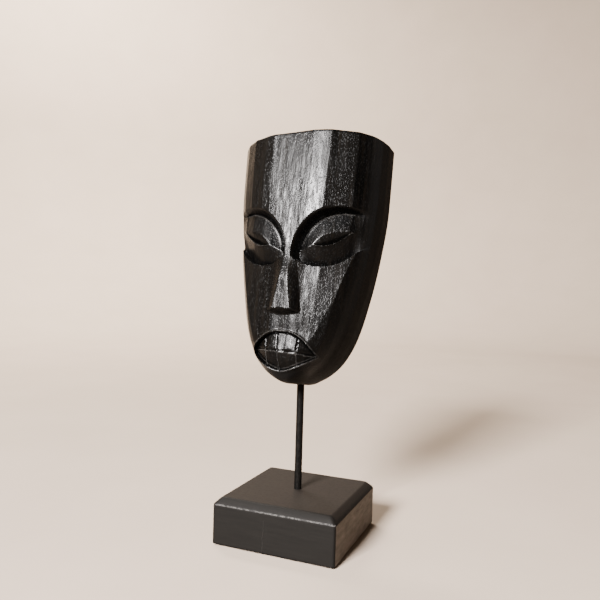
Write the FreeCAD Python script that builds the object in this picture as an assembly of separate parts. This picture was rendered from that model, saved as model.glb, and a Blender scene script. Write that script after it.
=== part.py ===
"""A carved wooden mask on a stand: a hollow-backed mask, a steel rod and a bevelled wooden block.

Frame, in millimetres: origin at the middle of the footprint, +Z up, the face looks along -Y.
The mask is drawn in its own carving frame and then leaned back on the rod. In that frame x runs across
the face, y from the front (negative) to the flat back, and h up the face from the tip of the chin.
"""

import FreeCAD, Part
import math
import os
from FreeCAD import Matrix, Placement, Rotation, Vector

OUT = "parts"

# ---- Driving dimensions: the stand --------------------------------------------------------------------
BASE_SIDE = 100.0
BASE_TOP = 37.0
BASE_BEVEL = 5.0
BASE_EDGE_ROUND = 1.0
PAD_THICK = 1.0
PAD_R = 7.0
PAD_INSET = 12.0

RUNNING_GAP = 0.05
ROD_R = 3.0
ROD_CHAMFER = 0.6
SHOULDER_Z = 17.0
THREAD_R = 2.5
THREAD_ROOT_R = 2.0
THREAD_PITCH = 0.8
THREAD_CREST = (0.4, 0.6)
THREAD_RELIEF = 2.0
THREAD_PAST_NUT = 0.8

RECESS_R = 10.0
RECESS_TOP = 11.0
WASHER_R = 7.5
WASHER_HOLE_R = 2.65
WASHER_THICK = 1.2
NUT_FLATS = 8.0
NUT_HEIGHT = 4.0
NUT_CHAMFER = 0.5
COLLAR_R = 3.6
COLLAR_HEIGHT = 1.4
COLLAR_WALL = 0.6

# ---- Driving dimensions: the mask ---------------------------------------------------------------------
CHIN_Z = 122.5
LEAN_BACK = 9.3
MASK_HEIGHT = 193.0
SOCKET_DEPTH = 38.0
SOCKET_END_GAP = 0.3
BACK_Y = 9.0

# Sections of the log the face is cut from: height, half width, depth in front of the back.
SECTIONS = ((0.0, 6.8, 40.0), (3.0, 13.2, 48.5), (8.0, 21.5, 54.0), (18.0, 31.7, 58.2), (38.0, 42.2, 60.0),
            (65.0, 49.5, 60.6), (100.0, 56.0, 61.3), (145.0, 60.6, 61.4), (MASK_HEIGHT, 61.2, 60.0))
# Where the carver's long flat cuts meet, as shares of the half width, and the roundness of a section.
CUTS = (1.0, 0.975, 0.91, 0.77, 0.57, 0.41, 0.27, 0.1)
SIDE_POWER_CHIN = 3.2
SIDE_POWER_TOP = 2.45
FRONT_POWER = 2.5

# The sunk cheeks: how far they lie behind the log's face at each height, and how far they widen it.
CHEEKS = ((0.0, -3.0), (18.0, -3.0), (32.0, -0.5), (40.0, 2.0), (52.0, 5.5), (65.0, 7.0), (193.0, 7.0))
CHEEK_WIDER = 2.2
LEVELS = 16
LEVEL_GROWTH = 1.5

BROW_BRIDGE = (4.2, 98.0)
BROW_MIDDLE = (13.6, 120.4)
BROW_OUTER = (38.0, 133.0)
BROW_INTO_NOSE = 4.0
NOSE_TOP_H = 99.0
NOSE_END_H = 54.5
NOSE_ROOT_H = 50.5
NOSE_FRONT_HALF = (2.4, 7.1)
NOSE_FOOT_HALF = (8.0, 13.3)
NOSE_TOP_Y = -51.5
NOSE_TIP_Y = -55.8
NOSE_FOOT_Y = -45.2
NOSE_INSIDE_Y = -30.0

EYE_INNER = (8.0, 93.5)
EYE_LOW = (26.0, 88.8)
EYE_OUTER_LOW = (50.0, 106.0)
EYE_OUTER = (55.0, 120.0)
EYE_OUTER_TOP = (50.0, 131.0)
EYE_TOP = (36.0, 130.8)
EYE_TOP_MIDDLE = (14.6, 119.5)
EYE_FLOOR = 10.5
EYE_FLOOR_FROM_H = 38.0
EYEBALL_CENTRE = (28.0, -32.0, 109.0)
EYEBALL_HALF = (30.0, 9.5, 24.0)
EYE_TURN = 24.0
SLIT_RISE = 22.0
SLIT_HALF = (14.5, 4.2)
SLIT_CENTRE = (4.5, 2.0)
SLIT_DEEP = 4.2
SLIT_FLOOR_SHARE = (0.8, 0.05)

MOUTH_CORNER = (26.0, 20.5)
MOUTH_TOP_H = 37.0
MOUTH_LOW_H = 8.6
MOUTH_DEEP = 2.2
TOOTH_GAPS_X = (-11.5, 0.0, 14.0)
TOOTH_ROW_H = 22.0
TOOTH_GAP_HALF = 0.9
TOOTH_GAP_DEEP = 1.5
TOOTH_GAP_LAP = 1.0

HOLLOW_WALL = 12.0
HOLLOW_DEPTH = 38.0
HOLLOW_RUN = (50.0, 180.0)
HOLLOW_STEPS = 9
HOLLOW_END_SHARE = 0.35
HOLLOW_ROUND = 0.8

FAR = 80.0
SAME = 1e-6


# ---- The mask -----------------------------------------------------------------------------------------
def even_slope(a, b):
    """The slope where two runs meet: their harmonic mean, or level at a turning point."""
    return 2 * a * b / (a + b) if a * b > 0 else 0.0


def between(rows, h, column):
    """Smooth reading of one column of a table, even in the square root of its first column, the height."""
    at_h = math.sqrt(max(h, 0.0))
    points = [(math.sqrt(row[0]), row[column]) for row in rows]
    slopes = [(q[1] - p[1]) / (q[0] - p[0]) for p, q in zip(points, points[1:])]
    ends = slopes[:1] + [even_slope(a, b) for a, b in zip(slopes, slopes[1:])] + slopes[-1:]
    k = max(i for i in range(len(slopes)) if at_h >= points[i][0])
    (t0, v0), (t1, v1) = points[k], points[k + 1]
    step = t1 - t0
    u = (at_h - t0) / step
    value = (1 + 2 * u) * (1 - u) ** 2 * v0 + u * u * (3 - 2 * u) * v1
    return value + step * u * (1 - u) * ((1 - u) * ends[k] - u * ends[k + 1])


def section(h, half, depth, shares=CUTS):
    """One closed level outline: the flat back, and flat cuts round the front."""
    power = SIDE_POWER_CHIN + (SIDE_POWER_TOP - SIDE_POWER_CHIN) * h / MASK_HEIGHT
    points = [(half * s, BACK_Y - depth * (1 - s ** power) ** (1 / FRONT_POWER)) for s in shares]
    points += [(-x, y) for x, y in reversed(points)]
    return Part.makePolygon([Vector(x, y, h) for x, y in points + points[:1]])


def stack(low, high, inset, sink):
    """A solid through level outlines, close together at the chin and further apart above it."""
    wires = []
    for i in range(LEVELS + 1):
        h = low + (high - low) * (i / LEVELS) ** LEVEL_GROWTH
        wires.append(section(h, between(SECTIONS, h, 1) - inset, between(SECTIONS, h, 2) - sink(h)))
    return Part.makeLoft(wires, True, False, False, 3)


def log(inset=0.0, low=0.0):
    """The rounded log, or a smaller one a given distance inside it."""
    return stack(low, MASK_HEIGHT, inset, lambda h: inset)


def cheek_log():
    """The same log with its front sunk, which leaves the nose and brow standing."""
    return stack(0.0, MASK_HEIGHT, -CHEEK_WIDER, lambda h: between(CHEEKS, h, 1))


def at(point, y=-FAR):
    """A point of the face, given as (x, h), on the plane in front of it."""
    return Vector(point[0], y, point[1])


def prism(edges, depth=FAR):
    return Part.Face(Part.Wire(edges)).extrude(Vector(0, depth, 0))


def brow_side():
    """One half of the forehead: everything above the arched brow, down to the bridge of the nose."""
    bridge, outer = at(BROW_BRIDGE), at(BROW_OUTER)
    arc = Part.Arc(bridge, at(BROW_MIDDLE), outer).toShape()
    low, high = BROW_BRIDGE[1] - BROW_INTO_NOSE, MASK_HEIGHT + FAR
    rim = [outer, at((FAR, BROW_OUTER[1])), at((FAR, high)), at((0, high)), at((0, low)),
           at((BROW_BRIDGE[0], low)), bridge]
    return prism([arc] + [Part.makeLine(p, q) for p, q in zip(rim, rim[1:])], 2 * FAR)


def nose_outline(halves, top_y, low_y, low_h):
    """A four-sided outline across the nose, from its top down to one level near the tip."""
    top, end = halves
    rim = [Vector(-end, low_y, low_h), Vector(end, low_y, low_h),
           Vector(top, top_y, NOSE_TOP_H), Vector(-top, top_y, NOSE_TOP_H)]
    return Part.makePolygon(rim + rim[:1])


def nose():
    """A wedge with a narrow flat front that rises toward the tip, wider at its foot, undercut below."""
    front = nose_outline(NOSE_FRONT_HALF, NOSE_TOP_Y, NOSE_TIP_Y, NOSE_END_H)
    foot = nose_outline(NOSE_FOOT_HALF, NOSE_FOOT_Y, NOSE_FOOT_Y, NOSE_ROOT_H)
    inside = Part.Face(foot).extrude(Vector(0, NOSE_INSIDE_Y - NOSE_FOOT_Y, 0))
    return Part.makeLoft([front, foot], True, True).fuse(inside)


def eye_opening():
    inner, low_end, outer = at(EYE_INNER), at(EYE_OUTER_LOW), at(EYE_OUTER_TOP)
    top = at(EYE_TOP)
    return prism([Part.Arc(inner, at(EYE_LOW), low_end).toShape(),
                  Part.Arc(low_end, at(EYE_OUTER), outer).toShape(),
                  Part.makeLine(outer, top),
                  Part.Arc(top, at(EYE_TOP_MIDDLE), inner).toShape()])


def at_eye(shape):
    """Puts a shape drawn round the eyeball's middle in its place, turned to look a little outwards."""
    turned = Placement(Vector(*EYEBALL_CENTRE), Rotation(Vector(0, 0, 1), EYE_TURN))
    shape.Placement = turned.multiply(shape.Placement)
    return shape


def eyeball():
    scale = Matrix()
    scale.scale(*EYEBALL_HALF)
    return at_eye(Part.makeSphere(1.0).transformGeometry(scale))


def leaf(length, width, y):
    """An outline of two arcs that meet in points."""
    ends = Vector(-length, y, 0), Vector(length, y, 0)
    sides = [Part.Arc(ends[0], Vector(0, y, z), ends[1]).toShape() for z in (width, -width)]
    return Part.Wire(Part.sortEdges(sides)[0])


def eye_slit():
    """The half-closed eye: a leaf-shaped cut that narrows to a line at its bottom."""
    length, width = SLIT_HALF
    lid = -EYEBALL_HALF[1]
    opening = leaf(length, 2 * width, lid - SLIT_DEEP)
    floor = leaf(length * SLIT_FLOOR_SHARE[0], width * SLIT_FLOOR_SHARE[1], lid + SLIT_DEEP)
    cut = Part.makeLoft([opening, floor], True, True)
    cut.rotate(Vector(0, 0, 0), Vector(0, 1, 0), -SLIT_RISE)
    cut.translate(Vector(SLIT_CENTRE[0], 0, SLIT_CENTRE[1]))
    return at_eye(cut)


def mouth():
    """What is cut away to leave two rows of teeth sunk in a leaf-shaped mouth."""
    left, right = at((-MOUTH_CORNER[0], MOUTH_CORNER[1])), at(MOUTH_CORNER)
    opening = prism([Part.Arc(left, at((0, MOUTH_TOP_H)), right).toShape(),
                     Part.Arc(right, at((0, MOUTH_LOW_H)), left).toShape()])
    teeth = log(MOUTH_DEEP)
    grooves = log(MOUTH_DEEP - TOOTH_GAP_LAP).cut(log(MOUTH_DEEP + TOOTH_GAP_DEEP)).common(opening)
    wide, width = 2 * MOUTH_CORNER[0], 2 * TOOTH_GAP_HALF
    slots = [Part.makeBox(width, FAR, MOUTH_TOP_H, at((x - TOOTH_GAP_HALF, 0))) for x in TOOTH_GAPS_X]
    slots.append(Part.makeBox(wide, FAR, width, at((-wide / 2, TOOTH_ROW_H - TOOTH_GAP_HALF))))
    return opening.cut(teeth).fuse([grooves.common(slot) for slot in slots])


def hollow():
    """The scooped-out back: a smooth bowl with round ends."""
    wires = []
    low, high = HOLLOW_RUN
    for i in range(HOLLOW_STEPS):
        t = -math.cos(math.pi * i / (HOLLOW_STEPS - 1))
        h = (low + high) / 2 + t * (high - low) / 2
        share = HOLLOW_END_SHARE + (1 - HOLLOW_END_SHARE) * math.sqrt(1 - t * t)
        half = (between(SECTIONS, h, 1) - HOLLOW_WALL) * share
        points = []
        for k in range(HOLLOW_STEPS):
            a = math.pi * k / (HOLLOW_STEPS - 1)
            reach = HOLLOW_DEPTH * share * abs(math.sin(a)) ** HOLLOW_ROUND
            points.append(Vector(half * math.cos(a), BACK_Y - reach, h))
        curve = Part.BSplineCurve()
        curve.interpolate(points)
        behind = Vector(0, FAR, 0)
        rim = [points[-1], points[-1] + behind, points[0] + behind, points[0]]
        wires.append(Part.Wire([curve.toShape()] + [Part.makeLine(p, q) for p, q in zip(rim, rim[1:])]))
    return Part.makeLoft(wires, True)


def both(shape):
    return [shape, shape.mirror(Vector(0, 0, 0), Vector(1, 0, 0))]


def lean(shape):
    """Moves a shape from the carving frame to its place on the rod."""
    shape.Placement = Placement(Vector(0, 0, CHIN_Z), Rotation(Vector(1, 0, 0), -LEAN_BACK))
    return shape


def make_mask():
    standing = cheek_log().fuse(both(brow_side()))
    face = log().common(standing).fuse(nose())
    eye = eye_opening().cut(log(EYE_FLOOR, EYE_FLOOR_FROM_H)).cut(eyeball()).fuse(eye_slit())
    for cut in both(eye) + [mouth(), hollow()]:
        face = face.cut(cut)
    face = lean(face)
    socket = Part.makeCylinder(ROD_R + RUNNING_GAP, SOCKET_DEPTH + FAR / 2, Vector(0, 0, CHIN_Z - FAR / 2))
    return face.cut(socket)


# ---- The stand ----------------------------------------------------------------------------------------
def nut_top():
    return RECESS_TOP - WASHER_THICK - RUNNING_GAP


def rod_foot():
    return nut_top() - NUT_HEIGHT - COLLAR_HEIGHT - THREAD_PAST_NUT


def make_rod():
    top = CHIN_Z + SOCKET_DEPTH - SOCKET_END_GAP
    z = rod_foot()
    profile = [(0, z), (THREAD_ROOT_R, z)]
    while z < SHOULDER_Z - THREAD_RELIEF - THREAD_PITCH:
        profile += [(THREAD_R, z + THREAD_PITCH * share) for share in THREAD_CREST]
        z += THREAD_PITCH
        profile.append((THREAD_ROOT_R, z))
    profile += [(THREAD_R, z + THREAD_R - THREAD_ROOT_R), (THREAD_R, SHOULDER_Z), (ROD_R, SHOULDER_Z),
                (ROD_R, top - ROD_CHAMFER), (ROD_R - ROD_CHAMFER, top), (0, top), (0, rod_foot())]
    face = Part.Face(Part.makePolygon([Vector(r, 0, height) for r, height in profile]))
    return face.revolve(Vector(0, 0, 0), Vector(0, 0, 1), 360)


def make_base():
    low, half = PAD_THICK, BASE_SIDE / 2
    block = Part.makeBox(BASE_SIDE, BASE_SIDE, BASE_TOP - low, Vector(-half, -half, low))
    rim = [e for e in block.Edges if all(abs(v.Z - BASE_TOP) < SAME for v in e.Vertexes)]
    block = block.makeChamfer(BASE_BEVEL, rim)
    upright = [e for e in block.Edges if abs(e.Vertexes[0].Z - e.Vertexes[-1].Z) > BASE_BEVEL + 1]
    block = block.makeFillet(BASE_EDGE_ROUND, upright)
    bores = ((ROD_R + RUNNING_GAP, SHOULDER_Z - RUNNING_GAP, FAR),
             (THREAD_R + RUNNING_GAP, RECESS_TOP, FAR),
             (RECESS_R, low, RECESS_TOP))
    for r, bottom, top in bores:
        block = block.cut(Part.makeCylinder(r, top - bottom, Vector(0, 0, bottom)))
    return block


def ring(outer, inner, bottom, height):
    tube = Part.makeCylinder(outer, height, Vector(0, 0, bottom))
    return tube.cut(Part.makeCylinder(inner, height, Vector(0, 0, bottom)))


def make_washer():
    return ring(WASHER_R, WASHER_HOLE_R, nut_top(), WASHER_THICK)


def make_lock_nut():
    """A hexagon nut with a thin collar below it, which holds the nylon ring."""
    radius, top, bottom = NUT_FLATS / math.sqrt(3), nut_top(), nut_top() - NUT_HEIGHT
    corners = [Vector(radius * math.cos(math.pi * k / 3), radius * math.sin(math.pi * k / 3), bottom)
               for k in range(7)]
    body = Part.Face(Part.makePolygon(corners)).extrude(Vector(0, 0, NUT_HEIGHT))
    drum = Part.makeCylinder(radius, NUT_HEIGHT - NUT_CHAMFER, Vector(0, 0, bottom))
    cone = Part.makeCone(radius, radius - NUT_CHAMFER, NUT_CHAMFER, Vector(0, 0, top - NUT_CHAMFER))
    body = body.common(drum.fuse(cone))
    body = body.cut(Part.makeCylinder(THREAD_R + RUNNING_GAP, NUT_HEIGHT, Vector(0, 0, bottom)))
    return body.fuse(ring(COLLAR_R, COLLAR_R - COLLAR_WALL, bottom - COLLAR_HEIGHT, COLLAR_HEIGHT))


def make_nylon_ring():
    return ring(COLLAR_R - COLLAR_WALL, THREAD_R, nut_top() - NUT_HEIGHT - COLLAR_HEIGHT, COLLAR_HEIGHT)


def main():
    os.makedirs(OUT, exist_ok=True)
    nodes = {"mask": make_mask(), "stand_rod": make_rod(), "base_block": make_base(),
             "washer": make_washer(), "lock_nut": make_lock_nut(), "nylon_ring": make_nylon_ring()}
    reach = BASE_SIDE / 2 - PAD_INSET
    for end, y in (("front", -reach), ("rear", reach)):
        for side, x in (("left", -reach), ("right", reach)):
            nodes[f"felt_pad_{end}_{side}"] = Part.makeCylinder(PAD_R, PAD_THICK, Vector(x, y, 0))
    for name, shape in nodes.items():
        print(f"{name:22s} valid {shape.isValid()} solids {len(shape.Solids)} volume {shape.Volume:9.0f}")
        shape.exportStep(f"{OUT}/{name}.step")


if __name__ == "__main__":
    main()
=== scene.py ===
"""A carved wooden mask on a stand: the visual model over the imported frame. Blender 4.5, metres.

The mask's mesh is worked out in its own carving frame, in millimetres: x across the face, y from the front
(negative) to the flat back, and h up the face from the tip of the chin. Its object is then leaned back.
"""
import math

import bmesh
import bpy
import numpy as np
from mathutils import Matrix, Vector


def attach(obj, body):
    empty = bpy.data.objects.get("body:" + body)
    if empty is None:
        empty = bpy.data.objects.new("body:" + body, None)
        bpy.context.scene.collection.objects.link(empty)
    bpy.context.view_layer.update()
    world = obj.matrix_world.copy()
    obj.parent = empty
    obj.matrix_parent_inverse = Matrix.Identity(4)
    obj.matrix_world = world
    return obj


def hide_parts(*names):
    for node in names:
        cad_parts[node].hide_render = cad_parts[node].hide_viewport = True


MM = 0.001

# ---- The mask's log, before carving (mm) -----------------------------------------------------------------
CHIN_Z = 122.5
LEAN_BACK = math.radians(9.3)
MASK_HEIGHT = 193.0
BACK_Y = 9.0
CHIN_TIP = -0.6
# Height, half width, depth in front of the flat back.
SECTIONS = ((-0.7, 0.0, 30.0), (0.0, 6.8, 38.5), (3.0, 13.4, 48.0), (8.0, 21.5, 54.0), (18.0, 31.7, 58.2),
            (38.0, 42.2, 60.0), (65.0, 49.5, 60.6), (100.0, 56.0, 61.3), (145.0, 60.6, 61.4),
            (MASK_HEIGHT, 61.2, 60.0))
# How full the log's rounded section is: towards its sides, at the chin and at the top, and towards its front.
SIDE_POWER_CHIN, SIDE_POWER_TOP = 3.2, 2.45
FRONT_POWER = 2.5
# Where the carver's long flat cuts meet, as shares of the half width, at the chin and at the top.
CUTS_POSITIVE_X = ((1.0, 1.0), (0.99, 0.99), (0.955, 0.955), (0.90, 0.90), (0.86, 0.86), (0.74, 0.74),
                   (0.38, 0.435), (0.30, 0.40), (0.27, 0.215))
CUTS_NEGATIVE_X = ((0.26, 0.35), (0.40, 0.45), (0.54, 0.65), (0.72, 0.80), (0.87, 0.90), (0.955, 0.96),
                   (0.99, 0.99), (1.0, 1.0))
# Between these heights the round chin turns into flat cuts.
CHIN_ROUND = (8.0, 40.0)
# The left side stands out a little near the top, and the top is sawn a little askew.
LEFT_SWELL = 3.0
SWELL_RISE = (110.0, 193.0)
TOP_SKEW = (0.9, 2.2)
TOP_HALF = 61.0
EDGE_WEAR = 0.5
# The sawn top: shares of the way from its middle to its edge, and heights over the last carved row.
TOP_RINGS = ((0.993, EDGE_WEAR), (0.97, EDGE_WEAR + 0.05), (0.8, 0.6), (0.5, 0.45), (0.2, 0.5))
TOP_MIDDLE_Y = -20.0
# Unevenness of the knife work: its height, the size of its lumps across and along the grain, and a seed.
FRONT_LUMPS = ((0.28, 9.0, 30.0, 1), (0.10, 3.2, 7.0, 2), (0.05, 0.9, 9.0, 3))
TOP_LUMPS = ((0.12, 7.0, 7.0, 8),)
# Near the two side edges, as a share of the half width, the unevenness fades out.
LUMPS_FADE = (0.9, 1.0)
# Cells of the random grid that the unevenness is read from, and where in it the mask's middle and chin lie.
RIPPLE_CELLS = 64
RIPPLE_START = (31.5, 1.5)

# ---- The carving (mm) ------------------------------------------------------------------------------------
# The mouth lies below this height and the eyes above it.
MID_FACE = 60.0
# The brows' arches stand on the nose's sides at this height. An arch is its middle, half width and rise.
NOSE_TOP = 98.0
BROW_EDGE = (40.0, 37.7, 37.0)
BROW_FOOT = (42.0, 35.2, 34.2)
# How deep the foot of the brow is, by the distance from the middle of the face.
BROW_DEEP = ((22.0, 9.3), (48.0, 6.2))
# Depth and width of the knife's groove under the brow.
BROW_GROOVE = (1.0, 1.2)
# Heights of the nose's tip and of the foot of its underside.
NOSE_TIP = 54.5
NOSE_ROOT = 50.3
# Half widths of the nose, at its top and at its tip: of its flat front, and at the foot of its sides.
NOSE_FRONT = (2.3, 7.4)
NOSE_FOOT = (6.8, 13.3)
NOSE_FLARE = 1.8
NOSTRIL_RISE = 2.4
# How far the nose stands out past the log, and the height from which that fades towards the brows.
NOSE_RISE = (4.2, 76.0)
# How far the cheeks are sunk, by height: at the muzzle in the middle, and beside it.
MUZZLE_SINK = ((-1.0, 0.0), (24.0, 0.2), (38.0, 2.6), (58.0, 1.6), (193.0, 1.6))
CHEEK_SINK = ((-1.0, -4.0), (18.0, -4.0), (30.0, -1.2), (38.0, -0.3), (52.0, -0.4), (75.0, 0.2), (90.0, 1.0),
              (193.0, 1.0))
MUZZLE_HALF = (3.0, 14.0)
CHEEK_SLANT = 0.29
# Where the cheek's first cut meets its second, and where that runs out: two (height, half width) points each.
CHEEK_INNER = ((52.0, 22.5), (88.0, 25.0))
CHEEK_OUTER = ((52.0, 33.0), (97.0, 47.0))
CHEEK_OUTER_TOP = 112.0
CHEEK_CUT_LEAST = 2.0
# A depth in front of any wood, where no cheek is cut.
CLEAR_OF_LOG = -100.0
# The lower edge of the eye: a middle and a reach, round towards the nose and slanting outside it.
EYE_LOW = (22.0, 119.0, 30.6)
EYE_EDGE = 0.9
# The slanting ridge between the lids, from the nose outwards, and its depth inside and outside.
LID_AXIS = ((18.5, 104.8), (45.5, 117.0))
LID_DEEP = (10.2, 2.4)
LID_RISE = (-6.0, 32.0)
LID_STEP = 7.5
UPPER_LID_HOLLOW, LOWER_LID_HOLLOW = 1.25, 1.1
SLIT_WIDE = 4.0
SLIT_LEAN = 0.75
SLIT_DEEP = 5.0
SLIT_VALLEY = -0.82
SLIT_FADE = 0.3
# Beads are raised lines: height, distance from the edge they follow, and half width.
LID_BEAD = (0.2, 1.7, 0.45)
SLIT_BEAD = (0.55, 0.5, 0.5)
MOUTH_BEAD = (0.85, 0.9, 0.6)
# Between these distances from the middle the carving fades into the log's sides.
SIDE_FADE = (44.0, 57.0)
# The mouth is followed a little past its corners, as a share of its half width.
MOUTH_PAST = 1.2
MOUTH_HALF = 26.0
MOUTH_CORNER = 20.8
MOUTH_TOP = 37.2
MOUTH_LOW = 8.5
UPPER_LIP_CURVE, LOWER_LIP_CURVE = 2.5, 1.6
CORNER_SLOPE = 0.75
MOUTH_GROOVE = (1.5, 0.4)
MOUTH_GROOVE_WIDE = (0.4, 1.3)
# The lines between the teeth, and the height and slope of the line between their two rows.
TOOTH_LINES = (-12.8, -2.1, 12.8)
TOOTH_ROW = (23.4, -0.06)
TOOTH_LEAN = 0.05
TOOTH_GROOVE = (0.75, 1.0)
TOOTH_GROOVE_RUN = (0.5, 1.5)
TOOTH_TURN = (5.0, 0.0, 0.3, 5.5)
TOOTH_SINK = 0.3
LOWER_TEETH_SLOPE = 0.17
MOUTH_EDGE = 0.7
# The grey lines, stain worn thin with a painted highlight along the carved edges: half width, and how far
# they are below the teeth's line, in the lip, below the slit.
WEAR_AND_HIGHLIGHT_HALF = 0.32
WEAR_AND_HIGHLIGHT_BELOW_ROW = 1.6
WEAR_AND_HIGHLIGHT_IN_LIP = 1.4
WEAR_AND_HIGHLIGHT_BELOW_SLIT = 0.4
WEAR_AND_HIGHLIGHT_SLIT_LEAST = 0.1

# ---- The hollow back (mm) --------------------------------------------------------------------------------
HOLLOW_RIM = 11.0
HOLLOW_DEPTH = 38.0
HOLLOW_MIDDLE, HOLLOW_HALF = 115.0, 66.0
HOLLOW_ROUND_ACROSS, HOLLOW_ROUND_UP = 2.3, 3.0
HOLLOW_SLOPE = 1.05
GOUGE_PITCH = 8.5
GOUGE_DEEP = 0.7
GOUGE_WANDER = ((2.5, 20.0, 34.0, 5),)
GOUGE_FADE = (0.05, 0.4)
BACK_LUMPS = ((0.15, 6.0, 40.0, 6),)
SOCKET_R = 3.05
SOCKET_DEPTH = 38.0

# ---- The block (mm) --------------------------------------------------------------------------------------
BASE_HALF = 50.0
BASE_FOOT, BASE_TOP = 1.0, 37.0
BASE_BEVEL = 5.0
BASE_CORNER = 2.0
BASE_ROUND = 1.0
BASE_NICK = 0.6
NICK_SIZE = 2.4
NICK_SEED = 21
NICK_LEAST = 0.35
BORE_R = 3.05
RECESS_R, RECESS_TOP = 10.0, 11.0
CRACK = ((-7.6, 2.0), (-6.9, 8.0), (-7.5, 13.0), (-6.4, 19.0), (-6.7, 26.0))
CRACK_WIDE, CRACK_DEEP = 0.4, 0.25

# ---- Mesh steps (mm) -------------------------------------------------------------------------------------
FINE_STEP = 0.62
SIDE_STEP = 1.5
# The columns are spaced for this height, and the wide ones start at this share of the half width.
SPACED_AT = 100.0
SIDE_FROM = 0.86
CHIN_RUN, CHIN_ROWS = 8.0, 20
FOREHEAD_STEP = 1.4
CARVED_TO = 139.0
BACK_COLUMNS = 76
BACK_REACH = 0.98
BASE_STEPS = 64
CORNER_STEPS = 6
DRILL_STEPS = 48
# Edges sharper than this many degrees are shaded sharp.
MASK_SHARP, BASE_SHARP = 50, 35

# ---- Where the finishes change, in the piece's own frame (mm) --------------------------------------------
# The mask's right side and the underside of its chin are duller than its front.
SIDE_DULL_Y = (-34.0, -20.0)
RIGHT_DULL_X = (0.0, 10.0)
CHIN_DULL_Z = (12.0, 2.0)
# The block's right end is browner, its top is painted paler as painted light from above, and the upper edge
# of its front is worn, with a painted highlight along it.
END_GRAIN_X = (49.97, 50.0)
TOP_PAINTED_LIGHT_Z = (32.5, 34.5)
TOP_PAINTED_LIGHT_Y = (-45.0, -42.5)
EDGE_WEAR_AND_HIGHLIGHT_Z = 32.0
EDGE_WEAR_AND_HIGHLIGHT_WIDE = (0.8, 0.1)
EDGE_WEAR_AND_HIGHLIGHT_Y = (-47.0, -48.5)

# ---- Colours, linear: the darker and the lighter tone of each finish -------------------------------------
STAIN = (0.00015, 0.00015, 0.00015, 1), (0.0006, 0.00045, 0.0003, 1)
STAINED_PORE = (0.0001, 0.0001, 0.0001, 1)
OLD_WOOD = (0.0056, 0.0035, 0.0021, 1), (0.0184, 0.0116, 0.0070, 1)
OLD_WOOD_PATCH = (0.0036, 0.0024, 0.0016, 1)
# Grey of the mask's lines: stain worn thin there, lightened further as a painted highlight along the carved
# edges.
WEAR_AND_HIGHLIGHT_GREY = (0.001, 0.001, 0.001, 1), (0.007, 0.0065, 0.006, 1)
BASE_PAINT = (0.0014, 0.00125, 0.0011, 1), (0.0019, 0.00165, 0.0014, 1)
# Painted light: the block's top face is painted paler, as if lit from above.
BASE_TOP_PAINTED_LIGHT = (0.0036, 0.0029, 0.0024, 1)
# Pale worn paint on the front's upper edge, partly a painted highlight along that edge.
BASE_WEAR_AND_HIGHLIGHT = (0.0175, 0.0165, 0.0155, 1)
END_GRAIN = (0.0100, 0.0088, 0.0077, 1), (0.1300, 0.1130, 0.0980, 1)
CRACK_DUST = (0.001, 0.001, 0.001, 1), (0.010, 0.009, 0.008, 1)
ROD_BLACK = (0.0005, 0.0005, 0.0005, 1), (0.0015, 0.00125, 0.0010, 1)
STEEL = (0.50, 0.50, 0.52, 1), (0.66, 0.66, 0.68, 1)
NYLON = (0.62, 0.61, 0.56, 1), (0.72, 0.71, 0.66, 1)
FELT = (0.012, 0.012, 0.012, 1), (0.05, 0.05, 0.05, 1)
FLOOR_PALE = (0.120, 0.0960, 0.0760, 1), (0.140, 0.1135, 0.0910, 1)

# ---- Stage, camera and light (m) -------------------------------------------------------------------------
FLOOR_REACH, FLOOR_CURVE, WALL_HIGH = 2.6, 0.9, 3.0
FLOOR_RINGS = (0.1, 0.3, 0.5)
FLOOR_CURVE_STEPS, FLOOR_STEPS = 13, 96
CAMERA_AT = (0.1892, -0.4668, 0.2011)
CAMERA_YAW, CAMERA_PITCH, CAMERA_ROLL = math.radians(22.36), math.radians(-1.21), math.radians(1.68)
CAMERA_LENS, CAMERA_SENSOR = 37.37, 36.0
LIGHT_AIM = (0.0, 0.0, 0.21)
KEY_AT, KEY_SIZE, KEY_WATTS, KEY_SPREAD = (-0.28, -1.80, 1.07), (0.50, 0.50), 385.0, 110.0
KEY_COLOUR = (1.0, 0.965, 0.955)
# Lamps for the curved wall, behind the mask and to the right and left in front: place, aim and watts.
WALL_LAMPS = (("back wall", (-1.3, 0.9, 2.0), (-1.3, 1.8, 0.6), 500.0),
              ("front right wall", (0.9, -0.9, 2.0), (1.5, -2.2, 0.6), 300.0),
              ("front left wall", (-0.9, -0.9, 2.0), (-2.2, -1.0, 1.1), 300.0))
WALL_SIZE, WALL_COLOUR, WALL_SPREAD = (1.0, 0.8), (1.0, 0.93, 0.84), 150.0
ROOM_COLOUR, ROOM_STRENGTH = (0.95, 0.90, 0.82, 1), 0.05


# ---- Small numeric helpers -------------------------------------------------------------------------------
def smooth(low, high, value):
    t = np.clip((value - low) / (high - low), 0.0, 1.0)
    return t * t * (3 - 2 * t)


def line(points, h):
    """The straight line through two (height, value) points."""
    (h0, v0), (h1, v1) = points
    return v0 + (v1 - v0) * (h - h0) / (h1 - h0)


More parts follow.
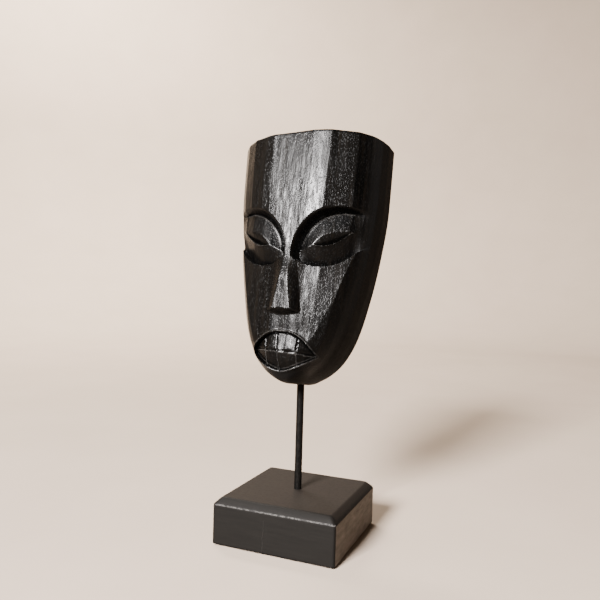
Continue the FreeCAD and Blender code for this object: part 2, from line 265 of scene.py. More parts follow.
def read_table(rows, column, h):
    """Smooth reading of a table by height: a Hermite curve with no overshoot, even in the root of h."""
    root = np.sqrt(np.maximum(h - rows[0][0], 0.0))
    t = np.sqrt(np.array([row[0] for row in rows]) - rows[0][0])
    v = np.array([row[column] for row in rows], float)
    rise = np.diff(v) / np.diff(t)
    inner = np.where(rise[1:] * rise[:-1] > 0, 2 * rise[1:] * rise[:-1] / (rise[1:] + rise[:-1] + 1e-12), 0.0)
    slope = np.concatenate([rise[:1], inner, rise[-1:]])
    k = np.clip(np.searchsorted(t, root, "right") - 1, 0, len(t) - 2)
    step = t[k + 1] - t[k]
    u = (root - t[k]) / step
    value = (1 + 2 * u) * (1 - u) ** 2 * v[k] + u * u * (3 - 2 * u) * v[k + 1]
    return value + step * u * (1 - u) * ((1 - u) * slope[k] - u * slope[k + 1])


def ripple(x, h, x_size, h_size, seed):
    """Smooth random unevenness between -1 and 1, with lumps of the given size."""
    n = RIPPLE_CELLS
    grid = np.random.default_rng(seed).uniform(-1, 1, (n, n))
    u, v = x / x_size + RIPPLE_START[0], h / h_size + RIPPLE_START[1]
    i, j = np.floor(u).astype(int), np.floor(v).astype(int)
    fu, fv = u - i, v - j
    fu, fv = fu * fu * (3 - 2 * fu), fv * fv * (3 - 2 * fv)
    a = grid[i % n, j % n] * (1 - fu) + grid[(i + 1) % n, j % n] * fu
    b = grid[i % n, (j + 1) % n] * (1 - fu) + grid[(i + 1) % n, (j + 1) % n] * fu
    return a * (1 - fv) + b * fv


def lumps(x, h, rows):
    """Several sizes of unevenness together, in mm."""
    return sum(height * ripple(x, h, across, along, seed) for height, across, along, seed in rows)


def bead(distance, height, place, half):
    """The height of a raised line that follows an edge at a distance."""
    return height * np.exp(-((distance - place) / half) ** 2)


# ---- The mask's surface ----------------------------------------------------------------------------------
def log_y(x, h):
    """The plain rounded log's front, at x and h."""
    power = SIDE_POWER_CHIN + (SIDE_POWER_TOP - SIDE_POWER_CHIN) * np.clip(h / MASK_HEIGHT, 0, 1)
    share = np.clip(np.abs(x) / np.maximum(read_table(SECTIONS, 1, h), 0.01), 0, 1)
    return BACK_Y - read_table(SECTIONS, 2, h) * (1 - share ** power) ** (1 / FRONT_POWER)


def arch(shape, a, h):
    """Signed distance out of the arch of a brow: an ellipse inside its middle, a level line beyond it."""
    middle, rx, ry = shape
    across = np.minimum((a - middle) / rx, 0.0)
    return (np.hypot(across, np.maximum(h - NOSE_TOP, 0.0) / ry) - 1) * ry


def brow_and_nose(a, h):
    """0 on the forehead and the front of the nose, 1 past the foot of their carved sides."""
    edge, foot = -arch(BROW_EDGE, a, h), arch(BROW_FOOT, a, h)
    brow = np.where(foot <= 0, 1.0, np.clip(edge / np.maximum(edge + foot, 1e-6), 0, 1))
    down = np.clip((NOSE_TOP - h) / (NOSE_TOP - NOSE_TIP), 0, 1)
    front = NOSE_FRONT[0] + (NOSE_FRONT[1] - NOSE_FRONT[0]) * down ** NOSE_FLARE
    side = NOSE_FOOT[0] + (NOSE_FOOT[1] - NOSE_FOOT[0]) * down
    nose = np.clip((a - front) / (side - front), 0, 1)
    root = NOSE_ROOT + NOSTRIL_RISE * (a / NOSE_FOOT[1]) ** 2
    under = np.clip((NOSE_TIP - h) / (NOSE_TIP - root), 0, 1)
    return np.where(h > NOSE_TOP, brow, np.maximum(nose, under))


def cheek_y(x, h):
    """The sunk cheeks: a flat cut beside the nose, and a second one that runs out to the log's side."""
    a = np.abs(x)
    inner = line(CHEEK_INNER, h)
    outer = np.maximum(line(CHEEK_OUTER, np.minimum(h, CHEEK_OUTER_TOP)), inner + CHEEK_CUT_LEAST)
    beside = smooth(*MUZZLE_HALF, a)
    sink = np.interp(h, *zip(*MUZZLE_SINK)) * (1 - beside) + np.interp(h, *zip(*CHEEK_SINK)) * beside
    flat = BACK_Y - read_table(SECTIONS, 2, h) + sink
    flat = flat + CHEEK_SLANT * np.minimum(a, inner) * beside
    run_out = flat + (log_y(outer, h) - flat) * (a - inner) / (outer - inner)
    surface = np.where(a < inner, flat, run_out)
    return np.where(a < outer, surface, CLEAR_OF_LOG)


def slit_place(a, h):
    """The height above the slanting ridge between the lids, and the slit's half width at that place."""
    (ax, ah), (bx, bh) = LID_AXIS
    length = math.hypot(bx - ax, bh - ah)
    ux, uh = (bx - ax) / length, (bh - ah) / length
    along = ((a - ax) * ux + (h - ah) * uh) / length
    return (h - ah) * ux - (a - ax) * uh, SLIT_WIDE * np.sin(math.pi * np.clip(along, 0, 1) ** SLIT_LEAN)


def eye_depth(a, h, rim):
    """How deep the eye lies below the log: two lids that meet in a slanting ridge, with a slit along it."""
    above, half = slit_place(a, h)
    to_brow = np.maximum(-arch(BROW_FOOT, a, h), 0.0)
    out, low = a - EYE_LOW[0], EYE_LOW[1] - h
    reach = np.where(out > low, (out + low) * math.sqrt(0.5), np.hypot(out, low))
    to_cheek = np.maximum(EYE_LOW[2] - reach, 0.0)
    ridge = LID_DEEP[1] + (LID_DEEP[0] - LID_DEEP[1]) * (1 - smooth(*LID_RISE, a))
    up = np.clip(above, 0, None)
    down = np.clip(-above, 0, None)
    upper = (up / np.maximum(up + to_brow, 1e-6)) ** UPPER_LID_HOLLOW
    lower = (down / np.maximum(down + to_cheek, 1e-6)) ** LOWER_LID_HOLLOW
    brow = np.interp(a, *zip(*BROW_DEEP))
    deep = np.where(above > 0, ridge + (brow - ridge) * upper, ridge + (rim + LID_STEP - ridge) * lower)
    groove = BROW_GROOVE[0] * (1 - smooth(0.0, BROW_GROOVE[1], to_brow))
    deep += (groove - bead(to_brow, *LID_BEAD)) * (above > 0)
    across = above / np.maximum(half, 1e-6)
    wall = np.where(across > SLIT_VALLEY, (1 - across) / (1 - SLIT_VALLEY), (1 + across) / (1 + SLIT_VALLEY))
    narrow = np.clip(half / SLIT_WIDE, 0, 1)
    lip = bead(-above - half, *SLIT_BEAD) * smooth(0.0, SLIT_FADE, narrow)
    return deep + SLIT_DEEP * np.clip(wall, 0, 1) * narrow - lip, to_cheek


def mouth_parts(x, h):
    """How far inside the mouth a point lies, the height of the line between its rows, and the nearest gap."""
    share = np.clip(np.abs(x) / MOUTH_HALF, 0, MOUTH_PAST)
    top = MOUTH_TOP - (MOUTH_TOP - MOUTH_CORNER) * share ** UPPER_LIP_CURVE
    low = MOUTH_LOW + (MOUTH_CORNER - MOUTH_LOW) * share ** LOWER_LIP_CURVE
    steep = CORNER_SLOPE + (1 - CORNER_SLOPE) * (1 - share)
    inside = np.minimum(top - h, h - low) * steep
    row = TOOTH_ROW[0] + TOOTH_ROW[1] * x
    gap = np.full_like(inside, MOUTH_HALF)
    for middle in TOOTH_LINES:
        lean = TOOTH_LEAN * (h - row) * np.sign(middle)
        gap = np.minimum(gap, np.abs(x - middle - lean))
    return inside, row, gap


def mouth_depth(x, h):
    """The leaf-shaped mouth: two sloping rows of teeth in a groove, with a raised rim round them."""
    inside, row, gap = mouth_parts(x, h)
    turned = np.interp(x, (-MOUTH_HALF, *TOOTH_LINES[1:], MOUTH_HALF), TOOTH_TURN)
    teeth = TOOTH_SINK + LOWER_TEETH_SLOPE * np.maximum(row - h, 0.0) + turned
    groove = np.where(h > row, *MOUTH_GROOVE) * (1 - smooth(*MOUTH_GROOVE_WIDE, inside))
    half, deep = TOOTH_GROOVE
    to_line = np.minimum(gap, np.abs(h - row))
    cut = deep * np.clip(1 - to_line / half, 0, 1) * smooth(*TOOTH_GROOVE_RUN, inside)
    sunk = np.where(inside > 0, (teeth + groove) * smooth(0, MOUTH_EDGE, inside) + cut, 0.0)
    return sunk - bead(-inside, *MOUTH_BEAD)


def wear_and_highlight_lines(x, h):
    """Where the grey lines lie, stain worn thin with a painted highlight along the carved edges: round the
    mouth, between its lower teeth and on the lids.
    """
    inside, row, gap = mouth_parts(x, h)
    # Painted highlight lines between the lower teeth and below their row, also standing for worn stain.
    lower_teeth_lines = (inside > 0) & (h < row) & (np.minimum(gap, np.abs(row - h - WEAR_AND_HIGHLIGHT_BELOW_ROW)) < WEAR_AND_HIGHLIGHT_HALF)
    rim = (np.abs(inside + MOUTH_BEAD[1]) < WEAR_AND_HIGHLIGHT_HALF) | ((h < row) & (np.abs(inside - WEAR_AND_HIGHLIGHT_IN_LIP) < WEAR_AND_HIGHLIGHT_HALF))
    a = np.abs(x)
    above, half = slit_place(a, h)
    slit = (np.abs(above + half + WEAR_AND_HIGHLIGHT_BELOW_SLIT) < WEAR_AND_HIGHLIGHT_HALF) & (half > WEAR_AND_HIGHLIGHT_SLIT_LEAST)
    on_bead = np.abs(arch(BROW_FOOT, a, h) + LID_BEAD[1]) < WEAR_AND_HIGHLIGHT_HALF
    lid = on_bead & (h > LID_AXIS[0][1]) & (a < LID_AXIS[1][0])
    return (h < MID_FACE) & (lower_teeth_lines | rim) | (h > MID_FACE) & slit | lid


def carve(x, y, h):
    """Moves the log's points back to the carved face."""
    a = np.abs(x)
    cheek = np.maximum(cheek_y(x, h), y)
    eye, to_cheek = eye_depth(a, h, cheek - y)
    in_eye = smooth(0.0, EYE_EDGE, to_cheek) * (h > MID_FACE)
    sunk = cheek + (y + eye - cheek) * in_eye
    fade = 1 - smooth(*SIDE_FADE, a)
    cut = brow_and_nose(a, h)
    rise = NOSE_RISE[0] * (1 - smooth(NOSE_RISE[1], NOSE_TOP, h))
    face = y + (sunk - y) * cut * fade - rise * (1 - cut)
    return face + mouth_depth(x, h) * (h < MID_FACE)


def column_shares():
    """For every column of the front, from the +x edge to the -x edge: its two cuts and the way between."""
    cuts = [(c, t, 1.0) for c, t in CUTS_POSITIVE_X] + [(c, t, -1.0) for c, t in CUTS_NEGATIVE_X]
    columns = []
    half = read_table(SECTIONS, 1, np.array([SPACED_AT]))[0]
    for first, second in zip(cuts, cuts[1:]):
        a, b = (0.5 * (c[0] + c[1]) * c[2] * half for c in (first, second))
        ya, yb = log_y(np.array([a, b]), np.full(2, SPACED_AT))
        step = SIDE_STEP if min(abs(a), abs(b)) > SIDE_FROM * half else FINE_STEP
        count = max(2, round(math.hypot(a - b, ya - yb) / step))
        columns += [(first, second, i / count) for i in range(count)]
    return columns + [(cuts[-1], cuts[-1], 0.0)]


def row_heights():
    """Heights of the mask's rows: close at the chin's tip and over the carving, wider on the forehead."""
    chin = [CHIN_TIP + CHIN_RUN * (i / CHIN_ROWS) ** 2 for i in range(CHIN_ROWS)]
    start = CHIN_TIP + CHIN_RUN
    carved = np.linspace(start, CARVED_TO, round((CARVED_TO - start) / FINE_STEP), endpoint=False)
    plain = np.linspace(CARVED_TO, MASK_HEIGHT - EDGE_WEAR, round((MASK_HEIGHT - CARVED_TO) / FOREHEAD_STEP))
    return np.concatenate([chin, carved, plain])


def front_grid(h):
    """Points of the carved front, one row per height: arrays of x, y and h."""
    columns = column_shares()
    rows = h[:, None]
    up = np.clip(rows / MASK_HEIGHT, 0, 1)
    half = read_table(SECTIONS, 1, rows)
    ends = []
    for which in (0, 1):
        chin, top, side = (np.array([c[which][k] for c in columns])[None, :] for k in range(3))
        x = half * side * (chin + (top - chin) * up)
        ends.append((x, log_y(x, np.broadcast_to(rows, x.shape))))
    way = np.array([c[2] for c in columns])[None, :]
    x = ends[0][0] * (1 - way) + ends[1][0] * way
    y = ends[0][1] * (1 - way) + ends[1][1] * way
    high = np.broadcast_to(rows, x.shape)
    y += (log_y(x, high) - y) * (1 - smooth(*CHIN_ROUND, high))
    x = x + LEFT_SWELL * np.minimum(x / half, 0.0) * np.abs(x / half) * smooth(*SWELL_RISE, high)
    y = carve(x, y, high)
    y = y + (1 - smooth(*LUMPS_FADE, np.abs(x) / half)) * lumps(x, high, FRONT_LUMPS)
    x[:, 0] -= EDGE_WEAR
    x[:, -1] += EDGE_WEAR
    return x, y, high


def saw_top(point):
    """Tips the forehead's rings a little, so the top slopes across the face."""
    level, skew = TOP_SKEW
    share = smooth(CARVED_TO, MASK_HEIGHT, point[..., 2])
    point[..., 2] += share * (level + skew * point[..., 0] / TOP_HALF)


def back_grid(h, half):
    """Points of the back between its two edges: a flat rim round a gouged bowl."""
    way = np.linspace(-1, 1, BACK_COLUMNS + 1)[None, 1:-1]
    x = np.sin(way * math.pi / 2 * BACK_REACH) * half[:, None]
    high = np.broadcast_to(h[:, None], x.shape)
    bowl_half = np.maximum(half[:, None] - HOLLOW_RIM, 1.0)
    across, up = np.abs(x / bowl_half), np.abs((high - HOLLOW_MIDDLE) / HOLLOW_HALF)
    inside = np.clip(1 - (across ** HOLLOW_ROUND_ACROSS + up ** HOLLOW_ROUND_UP), 0, 1)
    gouges = GOUGE_DEEP * np.abs(np.sin(math.pi * (x + lumps(x, high, GOUGE_WANDER)) / GOUGE_PITCH))
    bowl = HOLLOW_DEPTH * inside ** HOLLOW_SLOPE - gouges * smooth(*GOUGE_FADE, inside)
    return x, BACK_Y - bowl + lumps(x, high, BACK_LUMPS), high


def ring_mesh(name, verts, rings, close_top=True):
    """A skin over rings of points, stacked upward, with a flat face at each closed end."""
    count = len(verts) // rings
    faces = []
    for low in range(0, len(verts) - count, count):
        for c in range(count):
            n = (c + 1) % count
            faces.append((low + c, low + n, low + count + n, low + count + c))
    faces.append(tuple(reversed(range(count))))
    if close_top:
        faces.append(tuple(range(len(verts) - count, len(verts))))
    mesh = bpy.data.meshes.new(name)
    mesh.from_pydata(verts, [], faces)
    return mesh


def mask_mesh():
    """The closed skin of the mask: carved front, hollow back and sawn top, with their materials."""
    h = row_heights()
    x, y, high = front_grid(h)
    bx, by, bh = back_grid(h, read_table(SECTIONS, 1, h))
    rings = list(np.stack([np.concatenate(pair, axis=1) for pair in ((x, bx), (y, by), (high, bh))], axis=-1))
    middle = np.array([0.0, TOP_MIDDLE_Y, 0.0])
    for share, rise in TOP_RINGS:
        ring = middle + (rings[-1] - middle) * [share, share, 1.0]
        ring[:, 2] = MASK_HEIGHT - EDGE_WEAR + rise + lumps(ring[:, 0], ring[:, 1], TOP_LUMPS)
        rings.append(ring)
    for ring in rings:
        saw_top(ring)
    mesh = ring_mesh("carved_mask", (np.concatenate(rings) * MM).tolist(), len(rings))
    skin = np.zeros((len(rings) - 1, len(rings[0])), int)
    front = x.shape[1] - 1
    # 0 is the stained front, 1 the bare back, 2 the grey lines of worn stain and painted highlight.
    skin[:len(h), front:] = 1
    skin[:len(h), :front] = 2 * wear_and_highlight_lines(x, high)[:, :front]
    mesh.polygons.foreach_set("material_index", np.append(skin.ravel(), [0, 0]))
    return mesh


def cut_with(piece, tool):
    """Takes the tool's shape out of the piece, and the tool away."""
    cut = piece.modifiers.new("cut", "BOOLEAN")
    cut.object, cut.operation, cut.solver = tool, "DIFFERENCE", "EXACT"
    bpy.context.view_layer.update()
    solid = bpy.data.meshes.new_from_object(piece.evaluated_get(bpy.context.evaluated_depsgraph_get()))
    piece.modifiers.clear()
    piece.data = solid
    bpy.data.objects.remove(tool)


def finish_piece(piece, sharp, body, node):
    """Shades a finished piece and puts it on its body, in place of its CAD node."""
    piece.data.shade_smooth()
    piece.data.set_sharp_from_angle(angle=math.radians(sharp))
    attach(piece, body)
    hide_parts(node)


def make_mask(*materials):
    """The carved mask, leaned back over the rod, with its socket drilled."""
    piece = bpy.data.objects.new("carved_mask", mask_mesh())
    for material in materials:
        piece.data.materials.append(material)
    bpy.context.collection.objects.link(piece)
    piece.matrix_world = Matrix.Translation((0, 0, CHIN_Z * MM)) @ Matrix.Rotation(-LEAN_BACK, 4, "X")
    cut_with(piece, drill_cylinder(SOCKET_R, CHIN_Z - SOCKET_DEPTH, CHIN_Z + SOCKET_DEPTH))
    finish_piece(piece, MASK_SHARP, "mask", "mask")


def drill_cylinder(radius, low, high):
    """An upright round tool between two heights."""
    bpy.ops.mesh.primitive_cylinder_add(vertices=DRILL_STEPS, radius=radius * MM, depth=(high - low) * MM,
                                        location=(0, 0, (low + high) / 2 * MM))
    return bpy.context.object


def crack_wedge():
    """A thin crooked blade, wide at the front face of the block, that cuts the drying crack."""
    mesh = bpy.data.meshes.new("crack")
    front = -BASE_HALF - CRACK_DEEP
    verts = [(x + side * CRACK_WIDE * wide, y, z) for x, z in CRACK
             for side, wide, y in ((-1, 1, front), (1, 1, front), (0, 0, CRACK_DEEP - BASE_HALF))]
    faces = [(0, 1, 2), tuple(len(verts) - k for k in (1, 2, 3))]
    for k in range(0, len(verts) - 3, 3):
        faces += [(k, k + 3, k + 4, k + 1), (k + 1, k + 4, k + 5, k + 2), (k + 2, k + 5, k + 3, k)]
    mesh.from_pydata([Vector(v) * MM for v in verts], [], faces)
    bm = bmesh.new()
    bm.from_mesh(mesh)
    bmesh.ops.recalc_face_normals(bm, faces=bm.faces)
    bm.to_mesh(mesh)
    bm.free()
    for face in mesh.polygons:
        face.material_index = 1
    blade = bpy.data.objects.new("crack", mesh)
    bpy.context.collection.objects.link(blade)
    return blade


def block_ring(inset, z, nick):
    """Points round the block at one height: a square with rounded corners, nicked inward here and there."""
    half, points = BASE_HALF - inset, []
    flat = half - BASE_CORNER
    side = [(half, along) for along in np.linspace(-flat, flat, BASE_STEPS)]
    side += [(flat + BASE_CORNER * math.cos(t), flat + BASE_CORNER * math.sin(t))
             for t in np.linspace(0, math.pi / 2, CORNER_STEPS)[1:-1]]
    for k in range(4):
        c, s = (1, 0, -1, 0)[k], (0, 1, 0, -1)[k]
        points += [(c * x - s * y, s * x + c * y, z) for x, y in side]
    points = np.array(points)
    along, across = points[:, 0] + 2 * points[:, 1], points[:, 1] - points[:, 0]
    worn = ripple(along, across, NICK_SIZE, NICK_SIZE, NICK_SEED)
    points[:, :2] *= 1 - nick * np.clip(worn - NICK_LEAST, 0, 1)[:, None] / BASE_HALF
    return points


def base_mesh():
    """A block with a bevelled top, softened corners and slightly nicked edges."""
    soft, low, high = BASE_ROUND, BASE_TOP - BASE_BEVEL, BASE_TOP
    # Inset from the block's side, height, and how much of a nick shows there.
    rings = [(soft, BASE_FOOT, 0), (soft * 0.3, BASE_FOOT + soft * 0.3, 0), (0, BASE_FOOT + soft, 0),
             (0, BASE_FOOT + 2 * soft, 0), (0, low - 2 * soft, 0), (0, low - soft, 0),
             (0.04, low - 0.5 * soft, 0.5), (soft * 0.22, low, 1), (soft * 0.55, low + soft * 0.45, 0.5),
             (soft, low + soft, 0), (BASE_BEVEL - soft, high - soft, 0),
             (BASE_BEVEL - soft * 0.45, high - soft * 0.55, 0.5), (BASE_BEVEL, high - soft * 0.22, 1),
             (BASE_BEVEL + soft * 0.5, high - 0.04, 0.5), (BASE_BEVEL + soft, high, 0),
             (BASE_BEVEL + 2 * soft, high, 0)]
    verts = np.concatenate([block_ring(inset, z, nick * BASE_NICK) for inset, z, nick in rings]) * MM
    return ring_mesh("bevelled_block", verts.tolist(), len(rings))


def make_base(paint, inside):
    """The block, bored for the rod and the nut, with its drying crack."""
    piece = bpy.data.objects.new("bevelled_block", base_mesh())
    piece.data.materials.append(paint)
    piece.data.materials.append(inside)
    bpy.context.collection.objects.link(piece)
    bore = drill_cylinder(BORE_R, -BASE_TOP, 2 * BASE_TOP)
    recess = drill_cylinder(RECESS_R, -RECESS_TOP, RECESS_TOP)
    for tool in (bore, recess, crack_wedge()):
        cut_with(piece, tool)
    finish_piece(piece, BASE_SHARP, "base", "base_block")


# ---- Materials -------------------------------------------------------------------------------------------
class Shader:
    """A Principled material and short ways to add and join its nodes."""

    def __init__(self, name, **settings):
        self.material = bpy.data.materials.new(name)
        self.material.use_nodes = True
        self.tree = self.material.node_tree
        self.surface = self.tree.nodes["Principled BSDF"]
        for key, value in settings.items():
            self.surface.inputs[key.replace("_", " ")].default_value = value
        self.place = self.add("ShaderNodeTexCoord").outputs["Object"]

    def add(self, kind, inputs=(), **settings):
        node = self.tree.nodes.new(kind)
        for key, value in settings.items():
            setattr(node, key, value)
        for key, value in dict(inputs).items():
            self.join(value, node.inputs[key])
        return node

    def join(self, value, socket):
        if isinstance(value, bpy.types.NodeSocket):
            self.tree.links.new(value, socket)
        else:
            socket.default_value = value

    def stretch(self, size):
        """Object coordinates counted in lumps of the given size in mm."""
        scale = tuple(1 / (MM * s) for s in size)
        return self.add("ShaderNodeMapping", {"Vector": self.place, "Scale": scale}).outputs[0]

    def noise(self, size, detail=3.0, rough=0.55):
        inputs = {"Vector": self.stretch(size), "Scale": 1.0, "Detail": detail, "Roughness": rough}
        return self.add("ShaderNodeTexNoise", inputs).outputs["Fac"]

    def ramp(self, value, low, high, to=(0.0, 1.0)):
        inputs = {"Value": value, "From Min": low, "From Max": high, "To Min": to[0], "To Max": to[1]}
        return self.add("ShaderNodeMapRange", inputs, interpolation_type="SMOOTHSTEP").outputs[0]

    def between(self, value, limits):
        """0 at the first of two places in mm and 1 at the second."""
        return self.ramp(value, limits[0] * MM, limits[1] * MM)

    def math(self, operation, a, b):
        return self.add("ShaderNodeMath", {0: a, 1: b}, operation=operation).outputs[0]

    def blend(self, share, a, b):
        inputs = {0: share, 6: a, 7: b}
        return self.add("ShaderNodeMix", inputs, data_type="RGBA").outputs[2]

    def bump(self, height, distance, strength, under=None):
        inputs = {"Height": height, "Distance": distance * MM, "Strength": strength}
        if under is not None:
            inputs["Normal"] = under
        return self.add("ShaderNodeBump", inputs).outputs[0]

    def finish(self, colour, rough, normal):
        self.join(colour, self.surface.inputs["Base Color"])
        self.join(rough, self.surface.inputs["Roughness"])
        self.join(normal, self.surface.inputs["Normal"])
        return self.material


def mask_wood():
    """Black stained, waxed wood with long open pores and faint brown where the stain is thin."""
    s = Shader("mask_wood", Specular_IOR_Level=0.06)
    pores = s.ramp(s.noise((0.9, 0.9, 1.8), 2.0, 0.5), 0.50, 0.74)
    fibres = s.noise((0.6, 0.6, 1.7), 3.0, 0.6)
    streaks = s.noise((3.0, 3.0, 60.0), 3.0, 0.55)
    patches = s.noise((22.0, 22.0, 40.0), 2.0, 0.5)
    stain = s.blend(s.ramp(streaks, 0.45, 0.75), *STAIN)
    colour = s.blend(s.math("MULTIPLY", pores, 0.8), stain, STAINED_PORE)
    gloss = s.math("ADD", s.ramp(patches, 0.3, 0.7, (0.24, 0.30)), s.ramp(streaks, 0.3, 0.7, (0.0, 0.03)))
    place = s.add("ShaderNodeSeparateXYZ", {0: s.place})
    side = s.between(place.outputs["Y"], SIDE_DULL_Y)
    right = s.math("MULTIPLY", side, s.between(place.outputs["X"], RIGHT_DULL_X))
    side = s.math("MAXIMUM", right, s.between(place.outputs["Z"], CHIN_DULL_Z))
    dull = s.math("ADD", gloss, s.math("MULTIPLY", side, 0.4))
    rough = s.math("ADD", dull, s.math("MULTIPLY", pores, 0.25))
    height = s.math("SUBTRACT", s.math("MULTIPLY", fibres, 0.45), pores)
    cuts = s.bump(s.noise((2.2, 2.2, 16.0), 2.0, 0.5), 0.9, 0.15)
    return s.finish(colour, rough, s.bump(height, 0.25, 0.34, cuts))


def back_wood():
    """Bare wood darkened by age, on the hand-gouged back."""
    s = Shader("back_wood", Specular_IOR_Level=0.1)
    grain = s.noise((0.9, 0.9, 26.0), 4.0, 0.6)
    patches = s.noise((14.0, 14.0, 30.0), 3.0, 0.6)
    brown = s.blend(s.ramp(grain, 0.3, 0.7), *OLD_WOOD)
    colour = s.blend(s.ramp(patches, 0.4, 0.8), brown, OLD_WOOD_PATCH)
    return s.finish(colour, s.ramp(grain, 0.3, 0.7, (0.55, 0.70)), s.bump(grain, 0.25, 0.5))


def wear_and_highlight_wood():
    """Waxed wood that shows grey where the stain is worn off, lightened as a painted highlight along the
    carved edges.
    """
    s = Shader("wear_and_highlight_wood", Specular_IOR_Level=0.06)
    grain = s.noise((0.8, 0.8, 2.4), 3.0, 0.6)
    colour = s.blend(s.ramp(grain, 0.35, 0.65), *WEAR_AND_HIGHLIGHT_GREY)
    return s.finish(colour, s.ramp(grain, 0.3, 0.7, (0.30, 0.42)), s.bump(grain, 0.2, 0.3))


def base_wood():
    """Charcoal paint on planed wood: worn on the front's upper edge with a painted highlight there, paler on
    top as painted light, browner on the right end.
    """
    s = Shader("base_wood", Specular_IOR_Level=0.03)
    grain = s.noise((22.0, 0.8, 0.8), 4.0, 0.6)
    dust = s.noise((2.5, 2.5, 2.5), 5.0, 0.7)
    paint = s.blend(s.ramp(grain, 0.3, 0.8), *BASE_PAINT)
    place = s.add("ShaderNodeSeparateXYZ", {0: s.place})
    end = s.between(place.outputs["X"], END_GRAIN_X)
    brown = s.blend(s.noise((5.0, 14.0, 4.0), 5.0, 0.65), *END_GRAIN)
    # Painted light: the top face is made paler, as if lit from above.
    high = s.between(place.outputs["Z"], TOP_PAINTED_LIGHT_Z)
    top = s.math("MULTIPLY", high, s.between(place.outputs["Y"], TOP_PAINTED_LIGHT_Y))
    paint = s.blend(top, paint, BASE_TOP_PAINTED_LIGHT)
    # Worn paint along the front's upper edge, lightened as a painted highlight there.
    edge = s.math("ABSOLUTE", s.math("SUBTRACT", place.outputs["Z"], EDGE_WEAR_AND_HIGHLIGHT_Z * MM), 0.0)
    near = s.math("MULTIPLY", s.between(edge, EDGE_WEAR_AND_HIGHLIGHT_WIDE), s.ramp(dust, 0.40, 0.60))
    worn = s.math("MULTIPLY", near, s.between(place.outputs["Y"], EDGE_WEAR_AND_HIGHLIGHT_Y))
    colour = s.blend(worn, s.blend(end, paint, brown), BASE_WEAR_AND_HIGHLIGHT)
    rough = s.math("ADD", s.ramp(grain, 0.3, 0.7, (0.53, 0.56)), s.ramp(dust, 0.4, 0.7, (0.0, 0.06)))
    fine = s.bump(dust, 0.06, 0.3)
    return s.finish(colour, rough, s.bump(grain, 0.10, 0.08, fine))


def crack_wood():
    """Dusty bare wood inside the drying crack."""
    s = Shader("crack_wood", Specular_IOR_Level=0.03)
    grain = s.noise((1.0, 1.0, 2.0), 3.0, 0.6)
    colour = s.blend(grain, *CRACK_DUST)
    return s.finish(colour, 0.8, s.bump(grain, 0.1, 0.3))


def rod_paint():
    """Satin black paint, a little uneven."""
    s = Shader("rod_paint", Specular_IOR_Level=0.03)
    coat = s.noise((1.2, 1.2, 1.6), 3.0, 0.6)
    colour = s.blend(s.ramp(coat, 0.4, 0.7), *ROD_BLACK)
    return s.finish(colour, s.ramp(coat, 0.3, 0.7, (0.34, 0.48)), s.bump(coat, 0.05, 0.3))


def bare_steel():
    """Turned steel of the washer and the nut."""
    s = Shader("bare_steel", Metallic=1.0)
    turned = s.noise((3.0, 3.0, 0.12), 2.0, 0.5)
    colour = s.blend(turned, *STEEL)
    return s.finish(colour, s.ramp(turned, 0.3, 0.7, (0.26, 0.42)), s.bump(turned, 0.03, 0.3))


def nylon():
    """The off-white ring in the nut."""
    s = Shader("nylon", Specular_IOR_Level=0.4)
    grain = s.noise((0.3, 0.3, 0.3), 2.0, 0.5)
    colour = s.blend(grain, *NYLON)
    return s.finish(colour, s.ramp(grain, 0.3, 0.7, (0.45, 0.6)), s.bump(grain, 0.03, 0.4))


def felt():
    """Dark felt under the block."""
    s = Shader("felt", Specular_IOR_Level=0.2, Sheen_Weight=0.4)
    fuzz = s.noise((0.35, 0.35, 0.35), 5.0, 0.7)
    colour = s.blend(fuzz, *FELT)
    return s.finish(colour, s.ramp(fuzz, 0.3, 0.7, (0.9, 1.0)), s.bump(fuzz, 0.3, 0.8))


# ---- Stage -----------------------------------------------------------------------------------------------
def make_floor():
    """One pale round sheet: a level floor that curves up into a wall on every side."""
    profile = [(FLOOR_REACH * share, 0.0) for share in FLOOR_RINGS]
    for turn in np.linspace(0, math.pi / 2, FLOOR_CURVE_STEPS):
        profile.append((FLOOR_REACH + FLOOR_CURVE * (math.sin(turn) - 1), FLOOR_CURVE * (1 - math.cos(turn))))
    profile.append((FLOOR_REACH, WALL_HIGH))
    around = np.linspace(0, 2 * math.pi, FLOOR_STEPS, endpoint=False)
    verts = [(r * math.cos(t), r * math.sin(t), z) for r, z in profile for t in around]
    floor = bpy.data.objects.new("floor", ring_mesh("floor", verts, len(profile), close_top=False))
    floor.data.shade_smooth()
    bpy.context.collection.objects.link(floor)
    s = Shader("pale_floor", Specular_IOR_Level=0.0)
    tone = s.noise((160.0, 160.0, 160.0), 6.0, 0.65)
    colour = s.blend(tone, *FLOOR_PALE)
    floor.data.materials.append(s.finish(colour, 0.85, s.bump(tone, 1.0, 0.1)))


def area_light(name, at, aim, size, watts, colour, spread):
    data = bpy.data.lights.new(name, "AREA")
    data.shape, data.size, data.size_y = "RECTANGLE", size[0], size[1]
    data.energy, data.color, data.spread = watts, colour, math.radians(spread)
    lamp = bpy.data.objects.new(name, data)
    lamp.location = at
    lamp.rotation_euler = (Vector(aim) - Vector(at)).to_track_quat("-Z", "Y").to_euler()
    lamp.visible_camera = False
    bpy.context.collection.objects.link(lamp)


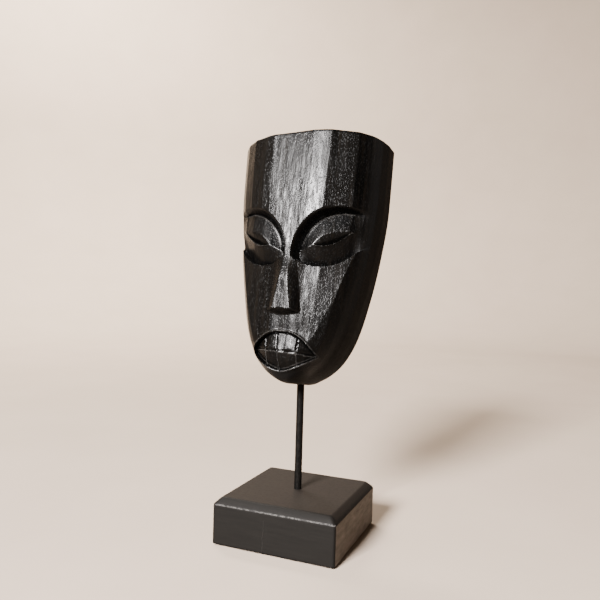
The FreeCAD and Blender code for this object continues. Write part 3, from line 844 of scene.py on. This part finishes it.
def make_light():
    area_light("key", KEY_AT, LIGHT_AIM, KEY_SIZE, KEY_WATTS, KEY_COLOUR, KEY_SPREAD)
    for name, at, aim, watts in WALL_LAMPS:
        area_light(name, at, aim, WALL_SIZE, watts, WALL_COLOUR, WALL_SPREAD)
    world = bpy.data.worlds.new("room")
    bpy.context.scene.world = world
    world.use_nodes = True
    back = world.node_tree.nodes["Background"]
    back.inputs["Color"].default_value = ROOM_COLOUR
    back.inputs["Strength"].default_value = ROOM_STRENGTH


def make_camera():
    yaw, pitch, roll = CAMERA_YAW, CAMERA_PITCH, CAMERA_ROLL
    ahead = Vector((-math.sin(yaw) * math.cos(pitch), math.cos(yaw) * math.cos(pitch), math.sin(pitch)))
    right = Vector((math.cos(yaw), math.sin(yaw), 0))
    up = right.cross(ahead)
    across = math.cos(roll) * right + math.sin(roll) * up
    above = -math.sin(roll) * right + math.cos(roll) * up
    camera = bpy.data.objects.new("camera", bpy.data.cameras.new("camera"))
    camera.data.lens, camera.data.sensor_width = CAMERA_LENS, CAMERA_SENSOR
    turn = Matrix((across, above, -ahead)).transposed().to_4x4()
    camera.matrix_world = Matrix.Translation(CAMERA_AT) @ turn
    bpy.context.collection.objects.link(camera)
    bpy.context.scene.camera = camera


# ---- Build -----------------------------------------------------------------------------------------------
def dress(node, material):
    """Gives a piece that keeps its CAD shape its material."""
    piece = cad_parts[node]
    piece.data.materials.clear()
    piece.data.materials.append(material)


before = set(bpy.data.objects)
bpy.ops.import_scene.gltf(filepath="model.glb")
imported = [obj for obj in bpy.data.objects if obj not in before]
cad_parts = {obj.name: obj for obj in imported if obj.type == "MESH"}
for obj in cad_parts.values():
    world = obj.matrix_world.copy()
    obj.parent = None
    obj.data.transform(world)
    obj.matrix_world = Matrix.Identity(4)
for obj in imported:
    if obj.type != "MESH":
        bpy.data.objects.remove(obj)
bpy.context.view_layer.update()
make_camera()
make_light()
make_floor()
make_mask(mask_wood(), back_wood(), wear_and_highlight_wood())
make_base(base_wood(), crack_wood())
steel = bare_steel()
soft = felt()
dress("stand_rod", rod_paint())
dress("washer", steel)
dress("lock_nut", steel)
dress("nylon_ring", nylon())
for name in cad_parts:
    if name.startswith("felt_pad"):
        dress(name, soft)
